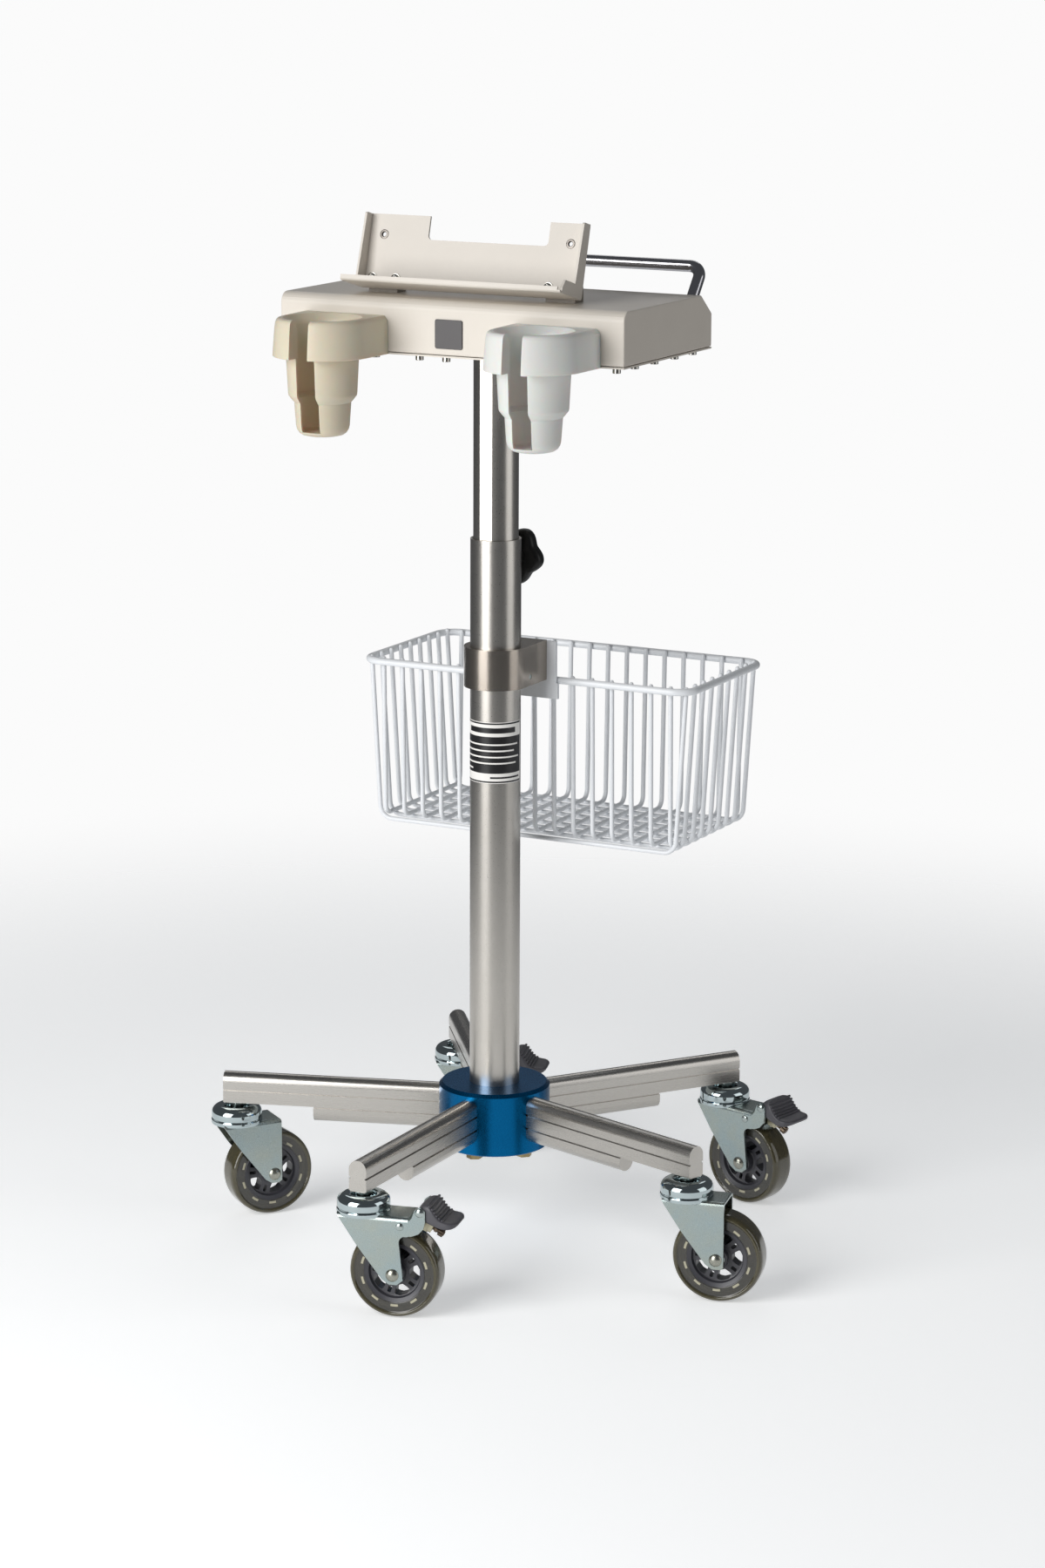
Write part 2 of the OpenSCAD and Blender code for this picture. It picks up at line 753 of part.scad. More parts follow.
// Slotted two-step cup under a collar with a round front and straight sides, in one piece
module probe_holder(s) {
    collar_r = 42;
    mouth_r = 36;
    low = -cup_h - toe_h;
    color(s < 0 ? "#cfc6b2" : "#d4d5cd") translate([
        s * holder_gap / 2, tray_front - holder_reach, tray_z
    ]) difference() {
        union() {
            linear_extrude(collar_h) {
                circle(r = collar_r);
                translate([-collar_r, 0]) square([2 * collar_r, holder_reach]);
            }
            rotate_extrude() polygon([
                [0, low], [18, low], [23, low + 5], [24.4, -cup_h], [29.4, -cup_h + 6],
                [31, 0], [31, 2], [0, 2]
            ]);
        }
        translate([-60, holder_reach, -10]) cube([120, 20, 60]);
        translate([0, 0, collar_h - 12]) cylinder(r1 = cup_bore_r, r2 = mouth_r, h = 12.01);
        translate([0, 0, -cup_h + 4]) cylinder(r = cup_bore_r, h = cup_h + collar_h);
        translate([0, 0, low + holder_wall]) cylinder(r = toe_bore_r, h = 80);
        translate([-slot_w / 2, -60, low + holder_wall]) cube([slot_w, 60, 120]);
    }
}

// ---------------------------------------------------------------- assembly

module place() {
    translate([axis_x, axis_y, 0]) children();
}

place() hub();
place() hub_bolts();
place() centre_bolt();
place() caster_stems();
place() arm(0);  // arm_front
place() arm(1);  // arm_front_right
place() arm(2);  // arm_rear_right
place() arm(3);  // arm_rear_left
place() arm(4);  // arm_front_left
place() column_lower();
place() guide_bush();
place() gas_spring_cylinder();
place() basket_clamp();
place() clamp_screws();
place() basket_plate();
place() basket_rim();
place() basket_long_panel(-1);  // basket_front_wires
place() basket_long_panel(1);  // basket_back_wires
place() basket_short_panel(-1);  // basket_left_wires
place() basket_short_panel(1);  // basket_right_wires
place() basket_floor();  // basket_floor_wires
place() column_upper();
place() gas_spring_rod();
place() column_flange();
place() tray_cover();
place() tray_base();
place() tray_screws();
place() tray_badge();
place() device_bracket();
place() bracket_feet();
place() bracket_screws();
place() handle();
place() probe_holder(-1);  // probe_holder_left
place() probe_holder(1);  // probe_holder_right
place() brake_shoe();
place() knob();
place() fork(0);  // fork_front
place() fork(1);  // fork_front_right
place() fork(2);  // fork_rear_right
place() fork(3);  // fork_rear_left
place() fork(4);  // fork_front_left
place() axle(0);  // axle_front
place() axle(1);  // axle_front_right
place() axle(2);  // axle_rear_right
place() axle(3);  // axle_rear_left
place() axle(4);  // axle_front_left
place() rim(0);  // rim_front
place() rim(1);  // rim_front_right
place() rim(2);  // rim_rear_right
place() rim(3);  // rim_rear_left
place() rim(4);  // rim_front_left
place() tyre(0);  // tyre_front
place() tyre(1);  // tyre_front_right
place() tyre(2);  // tyre_rear_right
place() tyre(3);  // tyre_rear_left
place() tyre(4);  // tyre_front_left
place() pedal(0);  // pedal_front
place() pedal(2);  // pedal_rear_right
place() pedal(3);  // pedal_rear_left
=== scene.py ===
from math import atan2, cos, degrees, pi, radians, sin, tan

import bmesh
import bpy
from mathutils import Matrix, Vector


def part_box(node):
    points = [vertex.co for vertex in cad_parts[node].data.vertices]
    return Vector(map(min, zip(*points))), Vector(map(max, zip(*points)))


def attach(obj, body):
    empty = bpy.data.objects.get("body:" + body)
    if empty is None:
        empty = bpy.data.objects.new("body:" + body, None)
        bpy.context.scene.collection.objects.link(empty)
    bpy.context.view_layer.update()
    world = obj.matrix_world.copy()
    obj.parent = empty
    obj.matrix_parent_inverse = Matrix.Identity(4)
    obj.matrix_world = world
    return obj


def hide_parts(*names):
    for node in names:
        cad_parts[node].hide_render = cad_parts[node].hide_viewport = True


# Looks of the mobile monitor stand. Shapes are drawn in millimetres about the column's axis,
# floor at z = 0, and scaled to metres when they are placed.
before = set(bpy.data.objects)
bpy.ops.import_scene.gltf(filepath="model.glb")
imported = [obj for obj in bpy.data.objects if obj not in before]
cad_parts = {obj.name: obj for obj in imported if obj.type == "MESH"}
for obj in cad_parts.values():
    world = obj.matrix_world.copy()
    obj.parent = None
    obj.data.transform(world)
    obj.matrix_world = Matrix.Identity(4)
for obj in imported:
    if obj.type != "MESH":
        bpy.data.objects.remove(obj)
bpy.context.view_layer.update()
scene = bpy.context.scene

MM = 0.001
hub_low, hub_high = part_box("hub")
axis = Vector(((hub_low.x + hub_high.x) / 2, (hub_low.y + hub_high.y) / 2, 0))
STAND = Matrix.Translation(axis) @ Matrix.Scale(MM, 4)

# ---------------------------------------------------------------- camera

CAMERA_SIDE = 27.8
CAMERA_HEADING = 27.41
CAMERA_PITCH = 12.86
CAMERA_ROLL = 0.24
CAMERA_DISTANCE = 3.5576
CAMERA_HEIGHT = 1.2287

lens = bpy.data.cameras.new("studio_camera")
lens.lens = 94.24
lens.sensor_width = 36
lens.clip_end = 200
camera = bpy.data.objects.new("studio_camera", lens)
scene.collection.objects.link(camera)
side = radians(CAMERA_SIDE)
camera.matrix_world = (
    Matrix.Translation(axis + Vector((
        CAMERA_DISTANCE * sin(side), -CAMERA_DISTANCE * cos(side), CAMERA_HEIGHT)))
    @ Matrix.Rotation(radians(CAMERA_HEADING), 4, "Z")
    @ Matrix.Rotation(radians(90 - CAMERA_PITCH), 4, "X")
    @ Matrix.Rotation(radians(CAMERA_ROLL), 4, "Z")
)
scene.camera = camera
scene.view_settings.view_transform = "Standard"


# ---------------------------------------------------------------- shapes

# Points closer than this are one, and faces this close to level are one
MERGE = 0.05
LEVEL = 0.4


def loft(rings, closed=False):
    """Skin over rings of points; a ring of one point closes an end."""
    shape = bmesh.new()
    rows = [[shape.verts.new(p) for p in ring] for ring in rings]
    count = max(len(row) for row in rows)
    for a, b in zip(rows, rows[1:] + rows[:1] if closed else rows[1:]):
        for k in range(count):
            n = (k + 1) % count
            corners = [a[k % len(a)], a[n % len(a)], b[n % len(b)], b[k % len(b)]]
            shape.faces.new(dict.fromkeys(corners))
    if not closed:
        for row in (rows[0], rows[-1]):
            if len(row) > 2:
                shape.faces.new(row)
    return shape


def lathe(profile, closed=False, steps=64):
    """Turns (radius, height) points about Z."""
    return loft([
        [(0, 0, z)] if r == 0 else
        [(r * cos(2 * pi * k / steps), r * sin(2 * pi * k / steps), z) for k in range(steps)]
        for r, z in profile
    ], closed)


def prism(outline, low, high):
    """Extrudes an outline in X-Y from low to high."""
    return loft([[(x, y, z) for x, y in outline] for z in (low, high)])


def block(low, high):
    (x0, y0, z0), (x1, y1, z1) = low, high
    return prism([(x0, y0), (x1, y0), (x1, y1), (x0, y1)], z0, z1)


def bent(corners, radius, steps=6):
    """A path through corners, each bent to a radius."""
    corners = [Vector(c) for c in corners]
    path = [corners[0]]
    for before, corner, after in zip(corners, corners[1:], corners[2:]):
        a, b = (before - corner).normalized(), (after - corner).normalized()
        half = a.angle(b) / 2
        centre = corner + (a + b).normalized() * (radius / sin(half))
        start = corner + a * (radius / tan(half)) - centre
        turn = start.cross(corner + b * (radius / tan(half)) - centre)
        path += [centre + Matrix.Rotation((pi - 2 * half) * k / steps, 3, turn) @ start
                 for k in range(steps + 1)]
    return path + [corners[-1]]


def rounded(points, radius, steps=5):
    """A closed outline in X-Y with every corner rounded."""
    flat = [(x, y, 0) for x, y in points]
    path = bent([flat[-1], *flat, flat[0]], radius, steps)[1:-1]
    return [(p.x, p.y) for p in path]


def tube(path, radius, closed=False, sides=14):
    """Round wire along a path, with domed ends."""
    path = [Vector(p) for p in path]
    last = len(path) - 1
    rings = []
    across = None
    for k, point in enumerate(path):
        ahead = path[(k + 1) % len(path)] if closed else path[min(k + 1, last)]
        along = (ahead - (path[k - 1] if closed or k else path[0])).normalized()
        across = along.orthogonal() if across is None else across - along * across.dot(along)
        across = across.normalized()
        up = along.cross(across)
        reach = [(0, radius)]
        if not closed and k in (0, last):
            reach = [(radius * sin(e), radius * cos(e)) for e in (0, 0.6, 1.1)]
            reach = reach if k else [(-s, r) for s, r in reversed(reach)]
        for shift, r in reach:
            rings.append([
                point + along * shift + across * (r * cos(t)) + up * (r * sin(t))
                for t in (2 * pi * j / sides for j in range(sides))
            ])
    return loft(rings, closed)


def moved(shape, *steps):
    for matrix in steps:
        bmesh.ops.transform(shape, matrix=matrix, verts=shape.verts)
    return shape


def joined(*shapes):
    whole = bmesh.new()
    for shape in shapes:
        mesh = bpy.data.meshes.new("part")
        bmesh.ops.recalc_face_normals(shape, faces=shape.faces)
        shape.to_mesh(mesh)
        shape.free()
        whole.from_mesh(mesh)
        bpy.data.meshes.remove(mesh)
    return whole


def carved(base, tool, how="DIFFERENCE"):
    """Boolean of two closed shapes."""
    pair = []
    for shape in (joined(base), joined(tool)):
        mesh = bpy.data.meshes.new("carving")
        shape.to_mesh(mesh)
        shape.free()
        pair.append(bpy.data.objects.new("carving", mesh))
        scene.collection.objects.link(pair[-1])
    cut = pair[0].modifiers.new("cut", "BOOLEAN")
    cut.operation, cut.object, cut.solver = how, pair[1], "EXACT"
    cut.use_self = True
    result = bmesh.new()
    result.from_object(pair[0], bpy.context.evaluated_depsgraph_get())
    for piece in pair:
        mesh = piece.data
        bpy.data.objects.remove(piece)
        bpy.data.meshes.remove(mesh)
    bmesh.ops.remove_doubles(result, verts=result.verts, dist=MERGE)
    bmesh.ops.dissolve_limit(result, angle_limit=radians(LEVEL), verts=result.verts,
                             edges=result.edges)
    return result


def shift(x, y, z):
    return Matrix.Translation((x, y, z))


def turn(angle, about):
    return Matrix.Rotation(radians(angle), 4, about)


def soften(piece, width, steps, angle=28):
    """Rounds the edges of a piece and keeps its flat faces flat."""
    if width:
        bevel = piece.modifiers.new("edge", "BEVEL")
        bevel.width = width * MM
        bevel.segments = steps
        bevel.limit_method = "ANGLE"
        bevel.angle_limit = radians(angle)
        bevel.use_clamp_overlap = True
    piece.modifiers.new("shading", "WEIGHTED_NORMAL").keep_sharp = True


def make(name, shape, place, body, finishes, stands_for=(), edge=0.0, steps=2, crease=40):
    """Turns a shape into a piece that rides on a body."""
    bmesh.ops.recalc_face_normals(shape, faces=shape.faces)
    for line in shape.edges:
        line.smooth = bool(edge) or line.calc_face_angle(0) < radians(crease)
    for face in shape.faces:
        face.smooth = True
    mesh = bpy.data.meshes.new(name)
    shape.to_mesh(mesh)
    shape.free()
    mesh.transform(place)
    for finish in finishes if isinstance(finishes, list) else [finishes]:
        mesh.materials.append(finish)
    piece = bpy.data.objects.new(name, mesh)
    scene.collection.objects.link(piece)
    soften(piece, edge, steps)
    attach(piece, body)
    if stands_for:
        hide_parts(*stands_for)
    return piece


# ---------------------------------------------------------------- finishes

def hue(code):
    """sRGB hex to linear colour."""
    parts = [int(code[k:k + 2], 16) / 255 for k in (1, 3, 5)]
    return (*[c / 12.92 if c <= 0.04045 else ((c + 0.055) / 1.055) ** 2.4 for c in parts], 1)


def add(tree, kind, inputs, **settings):
    """Adds a node. An input is a value, or (node, output) to link."""
    node = tree.nodes.new(kind)
    for key, value in settings.items():
        setattr(node, key, value)
    for key, value in inputs.items():
        if isinstance(value, tuple) and isinstance(value[0], bpy.types.Node):
            tree.links.new(value[0].outputs[value[1]], node.inputs[key])
        else:
            node.inputs[key].default_value = value
    return node


def surface(name, colour, other, patch, grain, rough, relief, metal=0.0, stretch=None, **sockets):
    """A finish whose colour drifts between two tones over patches of a size in mm, with a
    fine grain in mm that varies the gloss and lifts the surface by relief mm.
    stretch = (angle, factor) draws both out along a direction in the floor plane."""
    material = bpy.data.materials.new(name)
    material.use_nodes = True
    tree = material.node_tree
    shader = tree.nodes["Principled BSDF"]
    where = (add(tree, "ShaderNodeTexCoord", {}), "Object")
    if stretch:
        facing = add(tree, "ShaderNodeMapping", {
            "Vector": where, "Rotation": (0, 0, radians(-stretch[0]))})
        where = (add(tree, "ShaderNodeMapping", {
            "Vector": (facing, "Vector"), "Scale": (1 / stretch[1], 1, 1)}), "Vector")
    drift = add(tree, "ShaderNodeTexNoise", {
        "Vector": where, "Scale": 1 / (patch * MM), "Detail": 4.0, "Roughness": 0.6})
    blend = add(tree, "ShaderNodeMix", {
        0: (drift, "Fac"), 6: hue(colour), 7: hue(other)}, data_type="RGBA")
    tree.links.new(blend.outputs[2], shader.inputs["Base Color"])
    fine = add(tree, "ShaderNodeTexNoise", {
        "Vector": where, "Scale": 1 / (grain * MM), "Detail": 3.0, "Roughness": 0.55})
    gloss = add(tree, "ShaderNodeMapRange", {
        "Value": (fine, "Fac"), "From Min": 0.3, "From Max": 0.7,
        "To Min": rough[0], "To Max": rough[1]})
    tree.links.new(gloss.outputs["Result"], shader.inputs["Roughness"])
    bump = add(tree, "ShaderNodeBump", {
        "Height": (fine, "Fac"), "Strength": 1.0, "Distance": relief * MM})
    tree.links.new(bump.outputs["Normal"], shader.inputs["Normal"])
    shader.inputs["Metallic"].default_value = metal
    for key, value in sockets.items():
        shader.inputs[key.replace("_", " ")].default_value = value
    return material


# Anodised turned aluminium: saturated dye over a satin metal
hub_anodised = surface("hub_anodised_blue", "#0b6397", "#0a598b", 30, 0.9, (0.26, 0.30),
                       0.002, 1.0)
# Extruded satin aluminium: faint draw lines along each arm, a few tenths of a mm apart in
# truth, drawn 0.7 mm apart so that they show
ARM_ANGLES = {"front": 270, "front_right": 342, "rear_right": 54, "rear_left": 126,
              "front_left": 198}
arm_extruded = {
    name: surface(f"arm_extruded_aluminium_{name}", "#bebbb6", "#b1ada7", 30, 0.7, (0.24, 0.29),
                  0.0015, 1.0, (angle, 40))
    for name, angle in ARM_ANGLES.items()
}
# Bead-blasted and anodised tube: an even speckle, drawn about 1 mm coarse
tube_blasted = surface("tube_blasted_aluminium", "#c6c2bc", "#bcb8b1", 25, 1.0, (0.27, 0.33),
                       0.008, 1.0)
clamp_satin = surface("clamp_satin_aluminium", "#b5ada3", "#a9a096", 20, 0.8, (0.2, 0.27),
                      0.003, 1.0)
# Bright zinc with a thin blue passivate that drifts to straw yellow
fork_zinc = surface("fork_bright_zinc", "#97aab1", "#a9ac9f", 22, 1.0, (0.26, 0.30), 0.0012, 1.0)
head_zinc = surface("head_polished_zinc", "#b9c5c7", "#adb9bb", 12, 1.5, (0.06, 0.09), 0.0006, 1.0)
stem_zinc = surface("stem_bright_zinc", "#b4bcba", "#a4aeac", 8, 1.0, (0.18, 0.24), 0.002, 1.0)
axle_steel = surface("axle_dull_steel", "#a9a99f", "#8f9086", 3, 0.7, (0.24, 0.32), 0.004, 1.0)
bolt_yellow = surface("bolt_yellow_zinc", "#a99a72", "#877b5e", 4, 0.8, (0.26, 0.36), 0.005, 1.0)
lever_zinc = surface("lever_pale_zinc", "#bdb79f", "#a9a48d", 4, 0.8, (0.3, 0.38), 0.003, 1.0)
screw_brown = surface("screw_brown_steel", "#77695a", "#5d5146", 3, 0.7, (0.28, 0.38), 0.005, 1.0)
screw_nickel = surface("screw_nickel", "#c4c2bc", "#b0aea8", 4, 0.8, (0.2, 0.27), 0.002, 1.0)
insert_steel = surface("insert_dark_steel", "#7c7671", "#68635e", 3, 0.7, (0.25, 0.33), 0.003, 1.0)
handle_polished = surface("handle_polished_steel", "#bdbcc0", "#b1b0b5", 15, 0.8, (0.14, 0.18),
                          0.001, 1.0)
# Powder coat: orange peel about 1 mm across
tray_powder = surface("tray_powder_coat", "#d9d2c7", "#d4ccc1", 30, 1.0, (0.36, 0.44), 0.010)
bracket_powder = surface("bracket_powder_coat", "#dbd4ca", "#d5cec4", 30, 1.0, (0.36, 0.44), 0.010)
foot_powder = surface("foot_dark_paint", "#857d72", "#7a7268", 10, 1.0, (0.4, 0.48), 0.008)
wire_coat = surface("wire_white_coating", "#e9ebee", "#e2e5e8", 14, 1.4, (0.26, 0.34), 0.012)
# Moulded ABS: fine spark-eroded texture
holder_ivory = surface("holder_ivory_abs", "#dcd3bd", "#d6ccb5", 25, 0.9, (0.38, 0.48), 0.006,
                       Subsurface_Weight=0.35, Subsurface_Scale=0.008)
holder_white = surface("holder_white_abs", "#e4e5e1", "#dedfda", 25, 0.9, (0.38, 0.48), 0.006,
                       Subsurface_Weight=0.35, Subsurface_Scale=0.008)
knob_black = surface("knob_black_phenolic", "#070707", "#0a0909", 10, 0.8, (0.38, 0.48), 0.006,
                     Specular_IOR_Level=0.35)
bush_black = surface("bush_black_acetal", "#1b1b1c", "#222223", 10, 0.8, (0.4, 0.5), 0.004)
badge_gloss = surface("badge_gloss_plastic", "#2f2a2b", "#292425", 12, 0.8, (0.3, 0.36), 0.001)
rim_nylon = surface("rim_moulded_nylon", "#3e3e43", "#38383d", 12, 0.8, (0.32, 0.4), 0.005)
key_nylon = surface("rim_key_nylon", "#aca892", "#a49f89", 5, 0.8, (0.35, 0.42), 0.004)
pedal_nylon = surface("pedal_moulded_nylon", "#4b4a4f", "#454449", 10, 0.8, (0.38, 0.48), 0.006)
# Cast urethane: smoky olive, half clear, glossy
tyre_urethane = surface("tyre_clear_urethane", "#47453f", "#3f3d37", 20, 2.0, (0.10, 0.16), 0.003,
                        Transmission_Weight=0.4, IOR=1.5, Coat_Weight=0.3, Coat_Roughness=0.08)
tyre_shoulder = surface("tyre_shoulder_urethane", "#5f593f", "#544e37", 20, 2.0, (0.10, 0.16),
                        0.003, Transmission_Weight=0.5, IOR=1.5, Coat_Weight=0.3,
                        Coat_Roughness=0.08)
print_white = surface("label_white_film", "#f0eeea", "#eae7e2", 15, 1.0, (0.3, 0.4), 0.001)
print_black = surface("label_black_ink", "#131213", "#19181a", 15, 1.0, (0.3, 0.4), 0.001)
spring_paint = surface("spring_black_paint", "#1d1e20", "#242527", 15, 1.0, (0.2, 0.28), 0.002)

# ---------------------------------------------------------------- studio

# Metres: edge of the paper, where it starts to thin out, where it is gone
FLOOR_R, FLOOR_CLEAR, FLOOR_GONE = 2.6, 0.7, 1.8
FLOOR_DROP = 0.0002
FLOOR_SIDES = 96
floor_mesh = bpy.data.meshes.new("studio_floor")
floor_mesh.from_pydata(
    [(FLOOR_R * cos(a), FLOOR_R * sin(a), -FLOOR_DROP)
     for a in (2 * k * pi / FLOOR_SIDES for k in range(FLOOR_SIDES))],
    [], [list(range(FLOOR_SIDES))])
floor_mesh.materials.append(
    surface("floor_matt_paper", "#f6f6f5", "#f3f3f2", 400, 20, (0.85, 0.95), 0.0,
            Emission_Color=hue("#f4f6f8"), Emission_Strength=0.42))
floor = bpy.data.objects.new("studio_floor", floor_mesh)
scene.collection.objects.link(floor)

# The paper thins out to the backdrop with its distance from the stand
paper = floor_mesh.materials[0].node_tree
paper_point = add(paper, "ShaderNodeTexCoord", {})
reach = add(paper, "ShaderNodeVectorMath", {0: (paper_point, "Object")}, operation="LENGTH")
fade = add(paper, "ShaderNodeMapRange", {
    "Value": (reach, "Value"), "From Min": FLOOR_CLEAR, "From Max": FLOOR_GONE},
    interpolation_type="SMOOTHSTEP")
clear = add(paper, "ShaderNodeBsdfTransparent", {})
sheet_mix = add(paper, "ShaderNodeMixShader", {
    0: (fade, "Result"), 1: (paper.nodes["Principled BSDF"], "BSDF"), 2: (clear, "BSDF")})
paper.links.new(sheet_mix.outputs[0], paper.nodes["Material Output"].inputs["Surface"])

# A white backdrop, which lights the stand as a dimmer grey room
ROOM_LIGHT = 0.16
world = bpy.data.worlds.new("studio")
world.use_nodes = True
room = world.node_tree
dim = room.nodes["Background"]
dim.inputs["Color"].default_value = hue("#c9cdd3")
dim.inputs["Strength"].default_value = ROOM_LIGHT
white = add(room, "ShaderNodeBackground", {"Color": hue("#fbfbfb"), "Strength": 1.0})
path = add(room, "ShaderNodeLightPath", {})
seen = add(room, "ShaderNodeMixShader", {
    0: (path, "Is Camera Ray"), 1: (dim, "Background"), 2: (white, "Background")})
room.links.new(seen.outputs[0], room.nodes["World Output"].inputs["Surface"])
scene.world = world

LIGHT_AIM = 0.5
# Soft boxes: angle round the column from the camera, distance, height, width, tallness, watts
for name, angle, distance, height, width, tall, watts in (
    ("key_softbox", -46, 2.4, 1.2, 1.7, 2.4, 68),
    ("fill_softbox", 70, 2.6, 1.0, 1.7, 2.2, 15),
    ("back_softbox", 178, 2.8, 2.4, 2.2, 1.2, 9),
):
    light = bpy.data.lights.new(name, "AREA")
    light.shape, light.size, light.size_y, light.energy = "RECTANGLE", width, tall, watts
    lamp = bpy.data.objects.new(name, light)
    scene.collection.objects.link(lamp)
    around = radians(CAMERA_SIDE - 90 + angle)
    spot = axis + Vector((distance * cos(around), distance * sin(around), height))
    lamp.location = spot
    ray = axis + Vector((0, 0, LIGHT_AIM)) - spot
    lamp.rotation_euler = ray.to_track_quat("-Z", "Y").to_euler()
    lamp.visible_camera = False

# ---------------------------------------------------------------- frame parts kept as they are

WELD_GAP, FLAT = 0.01 * MM, 0.5


def refine(node, finish, edge=0.4, steps=2):
    """Gives a frame part its finish and rounded edges."""
    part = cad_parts[node]
    part.data.materials.clear()
    part.data.materials.append(finish)
    weld = part.modifiers.new("weld", "WELD")
    weld.merge_threshold = WELD_GAP
    flatten = part.modifiers.new("flatten", "DECIMATE")
    flatten.decimate_type = "DISSOLVE"
    flatten.angle_limit = radians(FLAT)
    soften(part, edge, steps, 32)


for name in ARM_ANGLES:
    refine(f"arm_{name}", arm_extruded[name], 0.35)
for node, finish, edge in (
    ("hub", hub_anodised, 0.5), ("hub_bolts", bolt_yellow, 0.4), ("centre_bolt", bolt_yellow, 0.4),
    ("caster_stems", stem_zinc, 0.4), ("column_lower", tube_blasted, 0.4),
    ("guide_bush", bush_black, 0.2), ("gas_spring_cylinder", spring_paint, 0.5),
    ("basket_clamp", clamp_satin, 0.7), ("clamp_screws", stem_zinc, 0.3),
    ("basket_plate", wire_coat, 0.8), ("column_upper", tube_blasted, 0.4),
    ("gas_spring_rod", handle_polished, 0.3), ("column_flange", clamp_satin, 0.5),
    ("tray_cover", tray_powder, 1.0), ("tray_base", tray_powder, 0.4),
    ("tray_screws", screw_nickel, 0.4), ("tray_badge", badge_gloss, 0.3),
    ("bracket_feet", foot_powder, 0.8),
    ("brake_shoe", bush_black, 0.2),
):
    refine(node, finish, edge)

# ---------------------------------------------------------------- casters

TRAILS = {"front": 13, "front_right": 12, "rear_right": -12.5, "rear_left": 18, "front_left": 53.5}
BRAKED = ("front", "rear_right", "rear_left")
SWIVEL_REACH = 239.3
TRAIL = 30
WHEEL_R = 40
FORK_TOP = 92
FORK_HALF = 17.5
SHEET = 2.5
STEM_R = 6
BEND_R = 4
FRONT_END, PLAIN_TAIL, BRAKED_TAIL = -21, 37, 44
PIVOT = (54.5, 98)
UPRIGHT = turn(90, "X")
# Turns an outline drawn in X-Y and extruded upwards so that it is drawn in Y-Z and runs along X
ALONG_X = Matrix(((0, 0, 1, 0), (1, 0, 0, 0), (0, 1, 0, 0), (0, 0, 0, 1)))

PLAIN_CHEEK = [
    (-20, 92), (-2.4, 65.7), (20.9, 35.6), (27, 31.6), (34, 31.6), (39.4, 35), (37.4, 62),
    (37, 92),
]
BRAKE_CHEEK = [
    (-20, 95), (-20, 92), (-2.4, 65.7), (20.9, 35.6), (27, 31.6), (34, 31.6), (39.4, 36),
    (35.9, 70), (36.6, 73), (39.6, 75.4), (60, 76), (60, 95),
]
# Ear of the cheek that holds the pedal's pin
EAR = [
    (32, 87.6), (32, 72), (36.4, 72), (37.4, 73.9), (40.4, 75.8), (47.5, 76.4), (53.6, 79),
    (57.6, 83.6), (59.2, 90), (59.2, 99.4), (54.5, 102.8), (49.9, 99.6), (47.6, 93), (43, 87.6),
]


def channel(tail):
    """Folded sheet seen along the trail: top plate and two cheeks with rounded bends."""
    bend_y, bend_z = FORK_HALF - BEND_R, FORK_TOP - BEND_R
    angles = (0, 0.4, 0.8, 1.2, pi / 2)
    outer, inner = [[(bend_y + r * cos(a), bend_z + r * sin(a)) for a in angles]
                    for r in (BEND_R, BEND_R - SHEET)]
    right = [(FORK_HALF, 20)] + outer
    under = inner[::-1] + [(FORK_HALF - SHEET, 20)]
    outline = right + [(-y, z) for y, z in reversed(right)] \
        + [(-y, z) for y, z in reversed(under)] + under
    return moved(prism(outline, FRONT_END, tail), ALONG_X)


def fork_sheet(braked):
    cheek = BRAKE_CHEEK if braked else rounded(PLAIN_CHEEK, 1.6, 3)
    body = carved(channel(BRAKED_TAIL if braked else PLAIN_TAIL),
                  moved(prism(cheek, -30, 30), UPRIGHT), "INTERSECT")
    if braked:
        for low in (-FORK_HALF, FORK_HALF - SHEET):
            ear = moved(prism(rounded(EAR, 1.2, 3), low, low + SHEET), UPRIGHT)
            body = carved(body, ear, "UNION")
    hole = moved(lathe([(0, 80), (STEM_R + 0.1, 80), (STEM_R + 0.1, 99), (0, 99)], steps=32))
    return carved(body, hole)


def rivet(u, z, r, rise):
    """Domed head on both cheeks."""
    head = [(0, 0), (r, 0)] + [(r * cos(e), rise * (0.15 + 0.85 * sin(e)))
                               for e in (0, 0.35, 0.7, 1.05, 1.35)] + [(0, rise)]
    return [moved(lathe(head, steps=24), turn(90 * -s, "X"), shift(u, s * FORK_HALF, z))
            for s in (-1, 1)]


HEAD_PROFILE = [
    (STEM_R + 0.05, -2.4), (22.4, -2.4), (23.2, -2.1), (23.5, -1.4), (23.5, 1), (23.2, 1.6),
    (22.4, 1.8), (22.3, 2.4), (22.8, 2.8), (23.1, 3.4), (23.1, 7.6), (22.9, 9.2), (22.2, 10.8),
    (20.9, 12.4), (19.2, 13.6), (17.2, 14.3), (15, 14.5), (13.2, 14.4), (11.9, 13.9), (11.2, 13),
    (11, 11.6), (11, 8), (STEM_R + 0.05, 8),
]
# Axle with a domed head at each end
AXLE_PROFILE = [
    (0, 20.6), (1.6, 20.5), (3.1, 20.1), (4.3, 19.4), (5.2, 18.5), (5.7, 17.9), (5.6, 17.55),
    (3.98, 17.55),
]

# Wheel centre: five openings between five slotted spokes
HUB_HALF, THROUGH = 14.4, 13
opening = rounded([
    (r * cos(radians(a)), r * sin(radians(a)))
    for r, a in ((12.6, -12), (16.5, -19), (20.6, -21), (21.8, -8), (21.8, 8), (20.6, 21),
                 (16.5, 19), (12.6, 12))
], 1.4, 3)
spoke_slot = rounded([(14.4, -1.6), (20.4, -1.6), (20.4, 1.6), (14.4, 1.6)], 1.1, 3)


